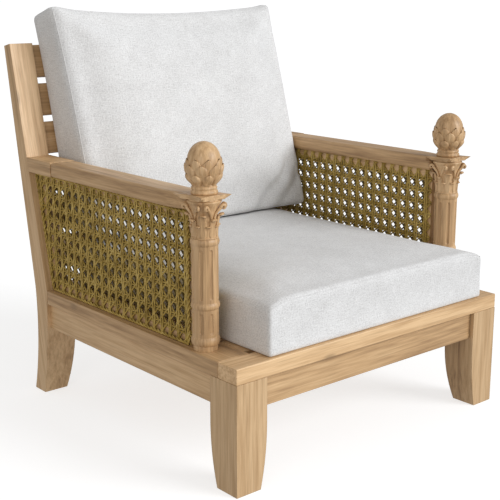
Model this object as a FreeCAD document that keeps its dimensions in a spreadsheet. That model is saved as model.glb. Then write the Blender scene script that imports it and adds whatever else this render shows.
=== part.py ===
import FreeCAD, Part
import math
import os
import Sketcher
from types import SimpleNamespace
from FreeCAD import Placement, Rotation, Vector

# Garden armchair of light teak: column arm posts, cane arm panels, loose cushions.
# Millimetres. +Z is up, the sitter faces -Y, and "left" is the side at -X.

doc = FreeCAD.newDocument("garden_armchair")
sheet = doc.addObject("Spreadsheet::Sheet", "Sizes")

SIZES = (
    # Overall
    ("chair_width", 790.0, "over the outer faces of the legs"),
    ("origin_back", 424.32, "from the front board's face back to the origin"),
    ("edge_round", 2.0, "round-over on board edges"),
    ("joint_clear", 0.15, "clearance all round a tenon, spigot or insert"),
    ("rest_gap", 0.3, "gap under a loose cushion"),
    # Front legs
    ("leg_height", 231.0, "floor to the underside of the deck boards"),
    ("leg_width", 77.0, "leg across the chair, at the top"),
    ("leg_depth", 81.0, "leg front to back, at the top"),
    ("leg_foot", 61.0, "leg at the floor, both ways"),
    ("leg_taper", 137.0, "height where the inner faces begin to taper"),
    # Deck
    ("board_thick", 33.0, "deck boards"),
    ("front_board_depth", 57.0, "front deck board, front to back"),
    ("side_board_width", 80.0, "side deck boards, across"),
    ("rear_board_depth", 50.0, "rear deck board, front to back"),
    ("seat_slat_width", 76.0, "seat slat, front to back"),
    ("seat_slat_thick", 20.0, "seat slat"),
    ("bearer_width", 25.0, "slat bearer, across"),
    ("bearer_height", 20.0, "slat bearer"),
    # Aprons
    ("apron_height", 63.0, "aprons, top to bottom"),
    ("apron_thick", 25.0, "aprons"),
    ("apron_inset", 10.0, "apron face behind the leg face"),
    ("rear_apron_set", 13.0, "rear apron behind the post's front face"),
    ("tenon_length", 25.0, "apron tenons"),
    ("tenon_thick", 10.0, "apron, slat and arm tenons"),
    ("tenon_shoulder", 9.0, "shoulder above and below a tenon"),
    # Back posts
    ("post_front", 702.0, "post front at the deck, behind the front board's face"),
    ("post_depth", 54.0, "post front to back at the deck"),
    ("post_width", 59.0, "post across, above the deck boards"),
    ("post_length", 583.0, "post above the deck, along its front"),
    ("post_top_depth", 27.0, "post at its top, square to the rake"),
    ("post_kick", 30.5, "foot front behind the post front"),
    ("post_foot_depth", 46.5, "post front to back at the floor"),
    ("post_front_curve", 1520.0, "radius of the leg's front"),
    ("post_rear_curve", 740.0, "radius of the leg's rear"),
    ("rake_deg", 11.9, "post lean from upright, degrees"),
    # Back slats
    ("slat_height", 75.7, "back slat along the rake"),
    ("slat_gap", 15.3, "gap between back slats"),
    ("slat_thick", 18.0, "back slat"),
    ("slat_recess", 8.0, "slat front behind the post front"),
    ("slat_top_drop", 3.0, "top slat below the post's top"),
    ("slat_tenon", 16.0, "back slat tenon"),
    # Arms
    ("arm_rise", 278.0, "deck top to the underside of the arm"),
    ("arm_thick", 33.0, "arm"),
    ("arm_width", 62.0, "arm across"),
    ("arm_round", 6.0, "round-over on the arm"),
    ("arm_joint", 661.0, "joint of arm and rear block, behind the front board's face"),
    ("arm_sweep_in", 12.0, "how far the arm's outer edge sweeps in at the front"),
    ("arm_sweep_length", 85.0, "length of that sweep"),
    ("arm_tenon", 12.0, "tenon of the rear block in the post"),
    ("arm_pin_radius", 6.0, "pin of the arm in the capital"),
    ("arm_pin_length", 12.0, "pin of the arm in the capital"),
    # Columns
    ("column_inset", 32.0, "column axis inside the leg's outer face"),
    ("column_back", 134.0, "column axis behind the front board's face"),
    ("column_base_radius", 24.5, "plinth of the column"),
    ("column_radius", 26.5, "shaft of the column"),
    ("column_bead_radius", 29.0, "beads of the column"),
    ("plinth_height", 12.0, "plinth of the column"),
    ("lower_bead_top", 29.0, "top of the lowest bead, above the deck"),
    ("middle_bead_low", 85.0, "foot of the middle bead, above the deck"),
    ("middle_bead_top", 99.0, "top of the middle bead, above the deck"),
    ("upper_bead_low", 213.0, "foot of the upper bead, above the deck"),
    ("shaft_height", 227.0, "top of the shaft, above the deck"),
    ("flute_radius", 4.2, "flute, round in section"),
    ("flute_depth", 2.4, "flute into the shaft"),
    ("flute_turn", 34.5, "first flute, degrees round the shaft"),
    ("flute_margin", 6.0, "plain band between a flute and a bead"),
    ("spigot_radius", 11.0, "spigots of the column"),
    ("spigot_length", 20.0, "spigots of the column"),
    # Capitals, abaci and finials
    ("capital_height", 74.0, "capital"),
    ("capital_foot_radius", 24.5, "bell of the capital, at its foot"),
    ("capital_lip_radius", 31.0, "bell of the capital, at its lip"),
    ("abacus_size", 84.0, "abacus across its sides, corner to corner"),
    ("abacus_height", 12.0, "abacus"),
    ("abacus_hollow", 12.0, "depth of the hollow in each side"),
    ("abacus_horn", 12.0, "cut across each corner"),
    ("finial_height", 101.0, "finial above the abacus"),
    ("finial_foot_radius", 26.5, "lower ring of the finial"),
    ("finial_neck_radius", 23.0, "neck of the finial"),
    ("finial_neck_height", 21.0, "neck above the abacus"),
    ("bud_radius", 33.0, "bud of the finial"),
    ("leaf_spread", 38.5, "radius over the leaves"),
    ("pin_radius", 7.0, "spigot of the finial"),
    ("pin_length", 34.0, "spigot of the finial, through the abacus"),
    # Arm panels
    ("panel_thick", 24.0, "wood frame of the panel"),
    ("panel_inset", 23.0, "panel frame inside the leg's outer face"),
    ("panel_rail", 22.0, "width of the rails and stiles"),
    ("cane_thick", 3.0, "cane sheet"),
    ("cane_pitch_y", 28.1, "cane holes, front to back"),
    ("cane_pitch_z", 28.85, "cane holes, up"),
    ("cane_hole_y", 15.0, "cane hole across"),
    ("cane_hole_z", 16.0, "cane hole up"),
    ("cane_margin", 20.0, "least cane between a hole and the edge"),
    ("border_width", 8.0, "cane border"),
    ("border_thick", 5.0, "cane border"),
    # Seat cushion
    ("seat_width", 640.0, "seat cushion, across"),
    ("seat_length", 705.0, "seat cushion, front to back"),
    ("seat_height", 131.0, "seat cushion over its crown"),
    ("seat_crown", 21.0, "crown above the seam"),
    ("seat_round", 14.0, "round of the seat cushion's front and rear"),
    ("seat_corner", 18.0, "round of the seat cushion's long edges"),
    ("seat_back_gap", 1.5, "seat cushion's rear edge before the lowest slat"),
    ("seat_shift", 11.0, "seat cushion right of the middle"),
    # Back cushion
    ("back_width", 652.0, "back cushion, across"),
    ("back_height", 513.0, "back cushion, along the rake"),
    ("back_thick", 168.0, "back cushion over its crown"),
    ("back_crown", 46.0, "crown in front of the seam"),
    ("back_taper", 40.0, "how much thicker the back cushion is at its foot than at its top"),
    ("back_shift", 3.0, "back cushion right of the middle"),
    ("back_corner", 34.0, "round of the back cushion's long edges"),
    ("back_foot_round", 16.0, "round of the back cushion at its foot"),
    ("back_head_round", 36.0, "round of the back cushion at its top"),
    ("cushion_draw", 3.0, "how far the sides draw in between the corners"),
)
SLAT_COUNT = 6
SEAT_SLAT_COUNT = 7
FLUTE_COUNT = 8
LEAF_COUNT = 8
VOLUTE_COUNT = 4
OVERCUT = 5.0

for row, (alias, value, note) in enumerate(SIZES, start=1):
    sheet.set(f"A{row}", note)
    sheet.set(f"B{row}", str(value))
    sheet.setAlias(f"B{row}", alias)
doc.recompute()


class Dim:
    """A size, with the sheet expression that drives it."""

    def __init__(self, value, text):
        self.value = float(value)
        self.text = text

    def __add__(self, other):
        other = dim(other)
        return Dim(self.value + other.value, f"({self.text} + {other.text})")

    def __radd__(self, other):
        return dim(other) + self

    def __sub__(self, other):
        other = dim(other)
        return Dim(self.value - other.value, f"({self.text} - {other.text})")

    def __rsub__(self, other):
        return dim(other) - self

    def __mul__(self, other):
        other = dim(other)
        return Dim(self.value * other.value, f"({self.text} * {other.text})")

    def __rmul__(self, other):
        return dim(other) * self

    def __truediv__(self, other):
        other = dim(other)
        return Dim(self.value / other.value, f"({self.text} / {other.text})")

    def __neg__(self):
        return Dim(-self.value, f"(0 - {self.text})")


def dim(number):
    return number if isinstance(number, Dim) else Dim(number, f"({float(number)})")


def sin_of(angle):
    return Dim(math.sin(math.radians(angle.value)), f"sin({angle.text} * 1 deg)")


def cos_of(angle):
    return Dim(math.cos(math.radians(angle.value)), f"cos({angle.text} * 1 deg)")


def sagitta_radius(chord, rise):
    """Radius of the arc on a chord that rises by the given amount."""
    return rise / 2 + chord * chord / (8 * rise)


def tangent_radius(across, along):
    """Radius of the arc that leaves a straight line and drifts across it over a length."""
    return (across * across + along * along) / (2 * across)


S = SimpleNamespace(**{alias: Dim(value, f"Sizes.{alias}") for alias, value, _ in SIZES})
nodes = {}


def keep(obj, label):
    obj.Label = label
    nodes[label] = obj
    return obj


def bind(obj, prop, size):
    size = dim(size)
    setattr(obj, prop, size.value)
    obj.setExpression(prop, size.text)


def place(obj, base, axis=None, angle=None):
    base = [dim(c) for c in base]
    turn = Rotation(Vector(*axis), angle.value) if axis else Rotation()
    obj.Placement = Placement(Vector(*(c.value for c in base)), turn)
    for letter, c in zip("xyz", base):
        obj.setExpression(f"Placement.Base.{letter}", c.text)
    if axis:
        obj.setExpression("Placement.Rotation.Angle", angle.text)


def box(name, corner, size, axis=None, angle=None):
    obj = doc.addObject("Part::Box", name)
    for prop, length in zip(("Length", "Width", "Height"), size):
        bind(obj, prop, length)
    place(obj, corner, axis, angle)
    return obj


def cylinder(name, base, radius, height, axis=None, angle=None):
    obj = doc.addObject("Part::Cylinder", name)
    bind(obj, "Radius", radius)
    bind(obj, "Height", height)
    place(obj, base, axis, angle)
    return obj


def fuse(name, shapes):
    obj = doc.addObject("Part::MultiFuse", name)
    obj.Shapes = shapes
    return obj


def cut(name, base, tools):
    obj = doc.addObject("Part::Cut", name)
    obj.Base = base
    obj.Tool = tools[0] if len(tools) == 1 else fuse(name + "_tools", tools)
    return obj


def mirror(left):
    """The right-hand twin of a left-hand piece."""
    label = left.Label.replace("_left", "_right")
    obj = doc.addObject("Part::Mirroring", label)
    obj.Source = left
    obj.Normal = (1, 0, 0)
    return keep(obj, label)


def both(obj, label):
    mirror(keep(obj, label))


def plane(body, role):
    return [o for o in body.Origin.OriginFeatures if o.Role == role][0]


def new_sketch(body, name, role):
    sketch = body.newObject("Sketcher::SketchObject", name)
    sketch.AttachmentSupport = [(plane(body, role), "")]
    sketch.MapMode = "FlatFace"
    return sketch


def add_loop(sketch, points, arcs=None):
    """Closed loop through points; arcs maps an edge to (radius, side), side 1 bulging left."""
    arcs = arcs or {}
    points = [(dim(x), dim(y)) for x, y in points]
    flat = [Vector(x.value, y.value, 0) for x, y in points]
    count = len(points)
    first = sketch.GeometryCount
    ends = []
    for i in range(count):
        start, end = flat[i], flat[(i + 1) % count]
        if i not in arcs:
            sketch.addGeometry(Part.LineSegment(start, end))
            ends.append((1, 2))
            continue
        radius, side = arcs[i]
        chord = end - start
        left = Vector(-chord.y, chord.x, 0).normalize()
        reach = math.sqrt(radius.value ** 2 - chord.Length ** 2 / 4)
        centre = (start + end) * 0.5 - left * (side * reach)
        low, high = (end, start) if side > 0 else (start, end)
        angles = [math.atan2(p.y - centre.y, p.x - centre.x) for p in (low, high)]
        circle = Part.Circle(centre, Vector(0, 0, 1), radius.value)
        sketch.addGeometry(Part.ArcOfCircle(circle, angles[0], angles[1]))
        ends.append((2, 1) if side > 0 else (1, 2))
    for i in range(count):
        j = (i + 1) % count
        link = (first + i, ends[i][1], first + j, ends[j][0])
        sketch.addConstraint(Sketcher.Constraint("Coincident", *link))
    for i, (x, y) in enumerate(points):
        for kind, size in (("DistanceX", x), ("DistanceY", y)):
            rule = Sketcher.Constraint(kind, -1, 1, first + i, ends[i][0], size.value)
            index = sketch.addConstraint(rule)
            sketch.setExpression(f"Constraints[{index}]", size.text)
    for i, (radius, _) in arcs.items():
        index = sketch.addConstraint(Sketcher.Constraint("Radius", first + i, radius.value))
        sketch.setExpression(f"Constraints[{index}]", radius.text)
    return sketch


def pad(body, sketch, length, reverse=False):
    feature = body.newObject("PartDesign::Pad", body.Name + "_pad")
    feature.Profile = sketch
    bind(feature, "Length", length)
    feature.Reversed = reverse
    return feature


def soften(body, feature, radius):
    fillet = body.newObject("PartDesign::Fillet", body.Name + "_round")
    fillet.Base = (feature, ["Edge1"])
    fillet.UseAllEdges = True
    bind(fillet, "Radius", radius)


def new_body(name, base, axis=None, angle=None):
    body = doc.addObject("PartDesign::Body", name)
    place(body, base, axis, angle)
    return body


def board(name, corner, size, axis=None, angle=None, radius=None):
    """A rectangular board with softened edges."""
    body = new_body(name, corner, axis, angle)
    length, width, height = (dim(c) for c in size)
    outline = new_sketch(body, name + "_outline", "XY_Plane")
    add_loop(outline, [(0, 0), (length, 0), (length, width), (0, width)])
    soften(body, pad(body, outline, height), radius or S.edge_round)
    return body


def side_piece(name, points, base_x, width, arcs=None):
    """A piece with its profile in the YZ plane, running across the chair."""
    body = new_body(name, (base_x, 0, 0))
    profile = new_sketch(body, name + "_profile", "YZ_Plane")
    add_loop(profile, points, arcs)
    pad(body, profile, width)
    return body


# Shared places
UPRIGHT = S.rake_deg
BACKWARD = (-1, 0, 0)
sine, cosine = sin_of(UPRIGHT), cos_of(UPRIGHT)
lean = sine / cosine
outer_x = -S.chair_width / 2
front_y = -S.origin_back
deck_top = S.leg_height + S.board_thick
post_y = front_y + S.post_front
arm_low = deck_top + S.arm_rise
arm_top = arm_low + S.arm_thick
post_inner = outer_x + S.post_width
leg_inner = outer_x + S.leg_width
side_inner = outer_x + S.side_board_width
apron_low = S.leg_height - S.apron_height
tenon_height = S.apron_height - 2 * S.tenon_shoulder
clear = S.joint_clear


def post_face(height):
    """Y of the posts' front face at a height above the deck."""
    return post_y + height * lean


def along_back(run, depth):
    """Point on the back: run up the rake from the deck, depth behind the post front."""
    y = post_y + run * sine + depth * cosine
    z = deck_top + run * cosine - depth * sine
    return y, z


# Front legs
leg_body = new_body("front_leg_blank", (outer_x, front_y, 0))
face = new_sketch(leg_body, "front_leg_face", "XZ_Plane")
leg_face = [(0, 0), (S.leg_foot, 0), (S.leg_width, S.leg_taper), (S.leg_width, S.leg_height), (0, S.leg_height)]
face_arc = tangent_radius(S.leg_width - S.leg_foot, S.leg_taper)
add_loop(face, leg_face, {1: (face_arc, -1)})
pad(leg_body, face, S.leg_depth, reverse=True)
flank = new_sketch(leg_body, "front_leg_flank", "YZ_Plane")
flank_arc = tangent_radius(S.leg_depth - S.leg_foot, S.leg_taper)
flank_edge = S.leg_depth + OVERCUT
add_loop(flank, [(S.leg_foot, 0), (S.leg_depth, S.leg_taper), (flank_edge, S.leg_taper), (flank_edge, 0)],
         {0: (flank_arc, -1)})
taper = leg_body.newObject("PartDesign::Pocket", "front_leg_taper")
taper.Profile = flank
taper.Type = "ThroughAll"
taper.Reversed = True


def tenon_box(name, corner, size, grow):
    """Tenon, or with grow the mortise that takes it."""
    return box(name, [c - grow for c in corner], [s + 2 * grow for s in size])


tenon_set = (S.apron_thick - S.tenon_thick) / 2
tenon_low = apron_low + S.tenon_shoulder
front_apron_y = front_y + S.apron_inset
side_apron_x = outer_x + S.apron_inset
rear_apron_y = post_y + S.rear_apron_set
leg_rear_y = front_y + S.leg_depth
front_tenon = ((leg_inner - S.tenon_length, front_apron_y + tenon_set, tenon_low),
               (S.tenon_length, S.tenon_thick, tenon_height))
rear_tenon = ((leg_inner - S.tenon_length, rear_apron_y + tenon_set, tenon_low),
              (S.tenon_length, S.tenon_thick, tenon_height))
side_tenon_x = side_apron_x + tenon_set
side_tenon_front = ((side_tenon_x, leg_rear_y - S.tenon_length, tenon_low),
                    (S.tenon_thick, S.tenon_length, tenon_height))
side_tenon_rear = ((side_tenon_x, post_y, tenon_low), (S.tenon_thick, S.tenon_length, tenon_height))
leg_mortises = [tenon_box("front_mortise", *front_tenon, clear), tenon_box("side_mortise", *side_tenon_front, clear)]
both(cut("front_leg", leg_body, leg_mortises), "front_leg_left")

# Back posts: sabre leg below the deck, raked post above it
top_y, top_z = along_back(S.post_length, 0)
back_y, back_z = along_back(S.post_length, S.post_top_depth)
foot_y = post_y + S.post_kick
post_points = [(foot_y, 0), (post_y, deck_top), (top_y, top_z), (back_y, back_z),
               (post_y + S.post_depth, deck_top), (foot_y + S.post_foot_depth, 0)]
post_arcs = {0: (S.post_front_curve, 1), 4: (S.post_rear_curve, -1)}
post_blank = side_piece("back_post_blank", post_points, outer_x, S.leg_width, post_arcs)
post_room = S.post_length + deck_top
shoulder_cut = box("post_shoulder", (post_inner, post_y - post_room, S.leg_height),
                   (S.leg_width, 2 * post_room, post_room))
taper_body = new_body("post_taper", (outer_x, post_y - S.leg_depth, 0))
taper_face = new_sketch(taper_body, "post_taper_face", "XZ_Plane")
taper_edge = S.leg_width + OVERCUT
add_loop(taper_face, [(S.leg_foot, 0), (S.leg_width, S.leg_taper), (taper_edge, S.leg_taper), (taper_edge, 0)],
         {0: (face_arc, -1)})
pad(taper_body, taper_face, 4 * S.leg_depth, reverse=True)
post_shape = cut("back_post_shape", post_blank, [shoulder_cut, taper_body])

# Back slats, tenoned into the posts
slat_step = S.slat_height + S.slat_gap
slat_first = S.post_length - S.slat_top_drop - S.slat_height
slat_tenon_set = (S.slat_thick - S.tenon_thick) / 2
slat_tenon_x = post_inner - S.slat_tenon
slat_mortises = []
for i in range(SLAT_COUNT):
    name = f"back_slat_{i + 1}"
    run = slat_first - i * slat_step
    slat = board(name + "_face", (post_inner, *along_back(run, S.slat_recess)),
                 (-2 * post_inner, S.slat_thick, S.slat_height), BACKWARD, UPRIGHT)
    spot = along_back(run + S.tenon_shoulder, S.slat_recess + slat_tenon_set)
    tenon = box(name + "_tenon", (slat_tenon_x, *spot),
                (-2 * slat_tenon_x, S.tenon_thick, S.slat_height - 2 * S.tenon_shoulder), BACKWARD, UPRIGHT)
    keep(fuse(name, [slat, tenon]), name)
    spot = along_back(run + S.tenon_shoulder - clear, S.slat_recess + slat_tenon_set - clear)
    slat_mortises.append(
        box(name + "_mortise", (slat_tenon_x - clear, *spot),
            (S.slat_tenon + clear + OVERCUT, S.tenon_thick + 2 * clear,
             S.slat_height - 2 * S.tenon_shoulder + 2 * clear), BACKWARD, UPRIGHT))

arm_tenon_height = S.arm_thick - 2 * S.tenon_shoulder
arm_inner = outer_x + S.arm_width
arm_tenon = ((outer_x + (S.post_width - 4 * S.tenon_thick) / 2, post_face(S.arm_rise), arm_low + S.tenon_shoulder),
             (4 * S.tenon_thick, S.arm_tenon, arm_tenon_height))
post_mortises = slat_mortises + [
    tenon_box("rear_apron_mortise", *rear_tenon, clear),
    tenon_box("side_rear_mortise", *side_tenon_rear, clear),
    tenon_box("arm_mortise", *arm_tenon, clear)]
both(cut("back_post", post_shape, post_mortises), "back_post_left")

# Aprons
apron_top_gap = S.apron_height
front_apron = board("front_apron_face", (leg_inner, front_apron_y, apron_low),
                    (-2 * leg_inner, S.apron_thick, apron_top_gap))
front_bar = box("front_apron_bar", (leg_inner - S.tenon_length, front_apron_y + tenon_set, tenon_low),
                (-2 * (leg_inner - S.tenon_length), S.tenon_thick, tenon_height))
keep(fuse("front_apron", [front_apron, front_bar]), "front_apron")
rear_apron = board("rear_apron_face", (leg_inner, rear_apron_y, apron_low),
                   (-2 * leg_inner, S.apron_thick, apron_top_gap))
rear_bar = box("rear_apron_bar", (leg_inner - S.tenon_length, rear_apron_y + tenon_set, tenon_low),
               (-2 * (leg_inner - S.tenon_length), S.tenon_thick, tenon_height))
keep(fuse("rear_apron", [rear_apron, rear_bar]), "rear_apron")
side_blank = board("side_apron_face", (side_apron_x, leg_rear_y, apron_low),
                   (S.apron_thick, post_y + S.post_kick - leg_rear_y, apron_top_gap))
side_coped = cut("side_apron_coped", side_blank, [post_shape])
side_front = tenon_box("side_apron_front_tenon", *side_tenon_front, dim(0))
side_rear = tenon_box("side_apron_rear_tenon", *side_tenon_rear, dim(0))
both(fuse("side_apron", [side_coped, side_front, side_rear]), "side_apron_left")

# Deck boards on the legs
keep(board("front_board", (outer_x, front_y, S.leg_height),
           (S.chair_width, S.front_board_depth, S.board_thick)), "front_board")
deck_front = front_y + S.front_board_depth
column_x = outer_x + S.column_inset
column_y = front_y + S.column_back
side_blank = board("side_board_blank", (outer_x, deck_front, S.leg_height),
                   (S.side_board_width, post_y - deck_front, S.board_thick))
foot_hole = cylinder("column_foot_hole", (column_x, column_y, deck_top - S.spigot_length - clear),
                     S.spigot_radius + clear, S.spigot_length + clear + OVERCUT)
both(cut("side_board", side_blank, [foot_hole]), "side_board_left")
keep(board("rear_board", (post_inner, post_y, S.leg_height),
           (-2 * post_inner, S.rear_board_depth, S.board_thick)), "rear_board")

# Seat slats on bearers, flush with the deck
slat_low = deck_top - S.seat_slat_thick
both(board("slat_bearer", (side_inner, deck_front, slat_low - S.bearer_height),
           (S.bearer_width, post_y - deck_front, S.bearer_height)), "slat_bearer_left")
deck_length = S.post_front - S.front_board_depth
seat_gap = (deck_length - SEAT_SLAT_COUNT * S.seat_slat_width) / (SEAT_SLAT_COUNT + 1)
for i in range(SEAT_SLAT_COUNT):
    name = f"seat_slat_{i + 1}"
    slat_y = deck_front + seat_gap + i * (S.seat_slat_width + seat_gap)
    keep(board(name, (side_inner + clear, slat_y, slat_low),
               (-2 * (side_inner + clear), S.seat_slat_width, S.seat_slat_thick)), name)

# Columns: turned shaft with two bands of flutes
shaft = new_body("column_blank", (column_x, column_y, deck_top))
turning = new_sketch(shaft, "column_turning", "XZ_Plane")
bead_rise = S.column_bead_radius - S.column_radius
turned = [(0, -S.spigot_length), (S.spigot_radius, -S.spigot_length), (S.spigot_radius, 0),
          (S.column_base_radius, 0), (S.column_base_radius, S.plinth_height), (S.column_radius, S.plinth_height),
          (S.column_radius, S.lower_bead_top), (S.column_radius, S.middle_bead_low),
          (S.column_radius, S.middle_bead_top), (S.column_radius, S.upper_bead_low),
          (S.column_radius, S.shaft_height), (S.spigot_radius, S.shaft_height),
          (S.spigot_radius, S.shaft_height + S.spigot_length), (0, S.shaft_height + S.spigot_length)]
beads = {5: (sagitta_radius(S.lower_bead_top - S.plinth_height, bead_rise), -1),
         7: (sagitta_radius(S.middle_bead_top - S.middle_bead_low, bead_rise), -1),
         9: (sagitta_radius(S.shaft_height - S.upper_bead_low, bead_rise), -1)}
add_loop(turning, turned, beads)
spun = shaft.newObject("PartDesign::Revolution", "column_spun")
spun.Profile = turning
spun.ReferenceAxis = (turning, ["V_Axis"])
spun.Angle = 360
flute_axis = S.column_radius + S.flute_radius - S.flute_depth
flute_x, flute_y = flute_axis * cos_of(S.flute_turn), flute_axis * sin_of(S.flute_turn)
flutes = []
for band, low, high in (("lower", S.lower_bead_top, S.middle_bead_low), ("upper", S.middle_bead_top, S.upper_bead_low)):
    foot = low + S.flute_margin + S.flute_radius
    head = high - S.flute_margin - S.flute_radius
    groove = shaft.newObject("PartDesign::SubtractiveCylinder", band + "_flute")
    bind(groove, "Radius", S.flute_radius)
    bind(groove, "Height", head - foot)
    place(groove, (flute_x, flute_y, foot))
    flutes.append(groove)
    for end, height in (("foot", foot), ("head", head)):
        ball = shaft.newObject("PartDesign::SubtractiveSphere", f"{band}_flute_{end}")
        bind(ball, "Radius", S.flute_radius)
        place(ball, (flute_x, flute_y, height))
        flutes.append(ball)
ring = shaft.newObject("PartDesign::PolarPattern", "column_flutes")
ring.Originals = flutes
ring.Axis = (plane(shaft, "Z_Axis"), [""])
ring.Angle = 360
ring.Occurrences = FLUTE_COUNT
shaft.Tip = ring
both(shaft, "column_left")

# Arms: a plank that sweeps in to the column, and a block at the post
arm_front = column_y + S.abacus_size / 2 - S.abacus_hollow
joint_y = front_y + S.arm_joint
arm_body = new_body("arm_blank", (0, 0, arm_low))
arm_plan = new_sketch(arm_body, "arm_plan", "XY_Plane")
sweep_end = arm_front + S.arm_sweep_length
add_loop(arm_plan, [(arm_inner, arm_front), (arm_inner, joint_y), (outer_x, joint_y),
                    (outer_x, sweep_end), (outer_x + S.arm_sweep_in, arm_front)],
         {3: (tangent_radius(S.arm_sweep_in, S.arm_sweep_length), -1)})
soften(arm_body, pad(arm_body, arm_plan, S.arm_thick), S.arm_round)
abacus_low = deck_top + S.shaft_height + S.capital_height


def abacus_body(name, grow, low, height):
    """Square slab with hollow sides and cut corners, about the column's axis."""
    body = new_body(name, (column_x, column_y, low))
    plan = new_sketch(body, name + "_plan", "XY_Plane")
    half = S.abacus_size / 2 + grow
    short = half - S.abacus_horn
    corners = [(-short, -half), (short, -half), (half, -short), (half, short),
               (short, half), (-short, half), (-half, short), (-half, -short)]
    hollow = sagitta_radius(2 * short, S.abacus_hollow)
    add_loop(plan, corners, {i: (hollow, 1) for i in (0, 2, 4, 6)})
    pad(body, plan, height)
    return body


arm_pin_z = arm_low + S.arm_thick / 3
arm_pin_y = arm_front - S.arm_pin_length
arm_pin = cylinder("arm_pin", (column_x, arm_front + S.arm_pin_length, arm_pin_z), S.arm_pin_radius,
                   2 * S.arm_pin_length, (1, 0, 0), dim(90))
arm_notch = abacus_body("arm_notch", clear, abacus_low, S.arm_thick)
arm_cut = cut("arm_cut", arm_body, [arm_notch])
both(fuse("arm", [arm_cut, arm_pin]), "arm_left")
block = side_piece("arm_block_blank", [(joint_y, arm_low), (post_face(S.arm_rise), arm_low),
                                       (post_face(S.arm_rise + S.arm_thick), arm_top), (joint_y, arm_top)],
                   outer_x, S.arm_width)
both(fuse("arm_block", [block, tenon_box("arm_block_tenon", *arm_tenon, dim(0))]), "arm_block_left")

# Abaci, bored for the finials' spigots
abacus = abacus_body("abacus_blank", dim(0), abacus_low, S.abacus_height)
abacus_hole = cylinder("abacus_hole", (column_x, column_y, abacus_low - OVERCUT), S.pin_radius + clear,
                       S.abacus_height + 2 * OVERCUT)
both(cut("abacus", abacus, [abacus_hole]), "abacus_left")

LEAF_BITE = 8.0
UP = Vector(0, 0, 1)
AXIS_FOOT = Vector(0, 0, 0)


def lathe(points, arcs=None):
    """Solid turned about Z from a closed (radius, height) outline; arcs gives an edge's mid point."""
    arcs = arcs or {}
    spots = [Vector(r, 0, z) for r, z in points]
    edges = []
    for i, start in enumerate(spots):
        end = spots[(i + 1) % len(spots)]
        if i in arcs:
            middle = Vector(arcs[i][0], 0, arcs[i][1])
            edges.append(Part.Arc(start, middle, end).toShape())
        else:
            edges.append(Part.LineSegment(start, end).toShape())
    outline = Part.Face(Part.Wire(edges))
    return outline.revolve(AXIS_FOOT, UP, 360)


def leaf_row(turn, low, tip, foot_radius, belly_radius, tip_radius, width):
    """A ring of pointed leaves, each a slice of a turned cup."""
    middle = low + 0.6 * (tip - low)
    cup = lathe([(foot_radius - LEAF_BITE, low), (foot_radius, low), (belly_radius, middle),
                 (tip_radius, tip), (tip_radius - LEAF_BITE, tip)])
    left, right = Vector(0, -width / 2, low), Vector(0, width / 2, low)
    peak = Vector(0, 0, tip)
    swell = 0.56 * width
    lift = low + 0.55 * (tip - low)
    edges = [Part.LineSegment(left, right).toShape(),
             Part.Arc(right, Vector(0, swell * 0.8, lift), peak).toShape(),
             Part.Arc(peak, Vector(0, -swell * 0.8, lift), left).toShape()]
    blade = Part.Face(Part.Wire(edges)).extrude(Vector(2 * belly_radius, 0, 0))
    leaf = cup.common(blade)
    leaves = []
    for i in range(LEAF_COUNT):
        copy = leaf.copy()
        copy.rotate(AXIS_FOOT, UP, turn + i * 360.0 / LEAF_COUNT)
        leaves.append(copy)
    return leaves


def carved(label, shape, base):
    obj = doc.addObject("Part::Feature", label)
    obj.Shape = shape.removeSplitter()
    place(obj, base)
    return obj


# Capitals: bell, two rows of leaves, four corner scrolls
HALF_STEP = 180.0 / LEAF_COUNT
tall = S.capital_height.value
foot_r, lip_r = S.capital_foot_radius.value, S.capital_lip_radius.value
bore = S.spigot_radius.value + clear.value
bore_depth = S.spigot_length.value + clear.value
pin_bore = S.pin_radius.value + clear.value
pin_depth = S.pin_length.value - S.abacus_height.value + clear.value
waist = foot_r - 0.5
bell = lathe([(0, 0), (foot_r, 0), (lip_r, tall), (0, tall)], {1: (waist + 1.0, 0.5 * tall)})
bell_leaves = leaf_row(0, 0.0, 0.46 * tall, foot_r + 0.5, foot_r + 3.0, foot_r + 5.5, 0.78 * foot_r)
bell_leaves += leaf_row(HALF_STEP, 0.0, 0.70 * tall, foot_r + 0.3, foot_r + 2.5, lip_r + 2.0, 0.70 * foot_r)
horn = (S.abacus_size.value / 2 - S.abacus_horn.value / 2) * math.sqrt(2)
scroll = 0.085 * tall
stalk_wide = 0.42 * foot_r
stalk_points = [(foot_r - 4, 0.50 * tall), (foot_r + 4, 0.62 * tall), (horn - 2 * scroll, 0.80 * tall),
                (horn - 0.5 * scroll, 0.90 * tall), (horn - 0.5 * scroll, tall), (foot_r - 4, tall)]
stalk_wire = Part.makePolygon([Vector(r, -stalk_wide / 2, z) for r, z in stalk_points + stalk_points[:1]])
stalk = Part.Face(stalk_wire).extrude(Vector(0, stalk_wide, 0))
curl = Part.makeCylinder(scroll, stalk_wide + 4, Vector(horn - scroll, -stalk_wide / 2 - 2, tall - scroll), Vector(0, 1, 0))
scrolls = []
for i in range(VOLUTE_COUNT):
    for piece in (stalk, curl):
        copy = piece.copy()
        copy.rotate(AXIS_FOOT, UP, 45 + i * 360.0 / VOLUTE_COUNT)
        scrolls.append(copy)
capital = bell.fuse(bell_leaves + scrolls)
capital = capital.cut(Part.makeCylinder(bore, bore_depth + OVERCUT, Vector(0, 0, -OVERCUT)))
capital = capital.cut(Part.makeCylinder(pin_bore, pin_depth + OVERCUT, Vector(0, 0, tall - pin_depth)))
pin_hole = Part.makeCylinder(S.arm_pin_radius.value + clear.value, 100,
                             Vector(0, (arm_pin_y - column_y).value - clear.value,
                                    (arm_pin_z - deck_top - S.shaft_height).value), Vector(0, 1, 0))
arm_end = Part.makeBox(200, 100, 200, Vector(-100, (arm_front - column_y).value, -100))
capital = capital.cut(pin_hole).cut(arm_end)
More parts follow.
